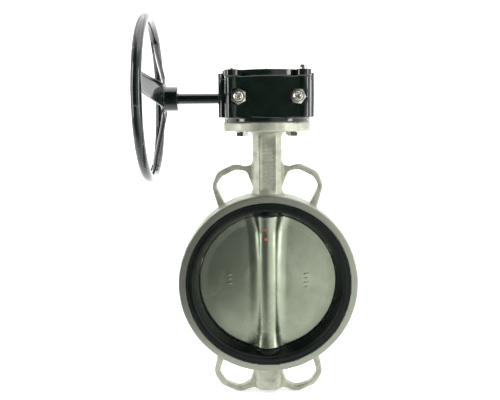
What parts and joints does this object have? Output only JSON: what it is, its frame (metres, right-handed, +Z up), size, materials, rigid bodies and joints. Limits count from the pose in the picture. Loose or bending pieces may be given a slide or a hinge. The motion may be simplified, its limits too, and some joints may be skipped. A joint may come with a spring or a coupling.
{
  "type": "wafer butterfly valve",
  "caption": "Wafer butterfly valve with a stainless body, rubber seat, centred disc, worm gear operator and handwheel.",
  "frame": {"origin": "centre of the bore, where the stem axis crosses the pipe axis", "axes": "+Z up the stem towards the gearbox, Y along the pipe, handwheel towards -X"},
  "size_m": [0.3165, 0.256, 0.5687],
  "materials": {
    "cast_stainless": "sand-cast stainless steel, shot-blasted, with a machined ring",
    "disc_stainless": "investment-cast stainless steel, satin, with a polished edge",
    "seat_rubber": "moulded black elastomer, semi-gloss",
    "turned_steel": "turned steel",
    "bronze": "sintered bronze",
    "seal_rubber": "moulded black rubber",
    "spring_steel": "oiled spring steel",
    "black_paint": "high-gloss black enamel on cast iron and steel",
    "gasket_fibre": "compressed fibre sheet",
    "zinc_plate": "bright zinc plate",
    "ductile_iron": "machined ductile iron"
  },
  "bodies": {
    "valve": {"valve_body": "cast_stainless", "seat_liner": "seat_rubber", "upper_stem_bush": "bronze", "neck_bush": "bronze", "lower_stem_bush": "bronze", "stem_o_rings": "seal_rubber", "bottom_plug": "turned_steel", "plug_o_ring": "seal_rubber", "gearbox_housing": "black_paint", "gearbox_cover": "black_paint", "cover_gasket": "gasket_fibre", "cover_screws": "zinc_plate", "cover_washers": "zinc_plate", "quadrant_lower_bush": "bronze", "quadrant_upper_bush": "bronze", "left_worm_bush": "bronze", "right_worm_bush": "bronze", "tunnel_end_cap": "black_paint", "input_shaft_seal": "seal_rubber", "closed_stop_screw": "zinc_plate", "open_stop_screw": "zinc_plate", "stop_lock_nuts": "zinc_plate", "indicator_seal": "seal_rubber", "mounting_bolts": "zinc_plate"},
    "disc_train": {"disc": "disc_stainless", "upper_stem": "turned_steel", "lower_stem": "turned_steel", "stem_retaining_ring": "spring_steel", "stem_key": "turned_steel", "quadrant_gear": "ductile_iron", "position_indicator": "black_paint", "indicator_screw": "zinc_plate"},
    "handwheel_train": {"worm": "turned_steel", "input_shaft": "black_paint", "worm_pin": "spring_steel", "handwheel_hub": "black_paint", "handwheel_spider": "black_paint", "handwheel_rim": "black_paint", "handwheel_pin": "spring_steel"}
  },
  "joints": [
    {"name": "handwheel_turn", "type": "hinge", "parent": "valve", "child": "handwheel_train", "pos_m": [-0.18, 0.0575, 0.27], "axis": [-1, 0, 0], "range_deg": [0, 3060]},
    {"name": "disc_turn", "type": "hinge", "parent": "valve", "child": "disc_train", "pos_m": [0, 0, 0], "axis": [0, 0, 1], "range_deg": [0, 90]}
  ],
  "couplings": [
    {"joint": "disc_turn", "follows": "handwheel_turn", "ratio": 0.029412}
  ]
}
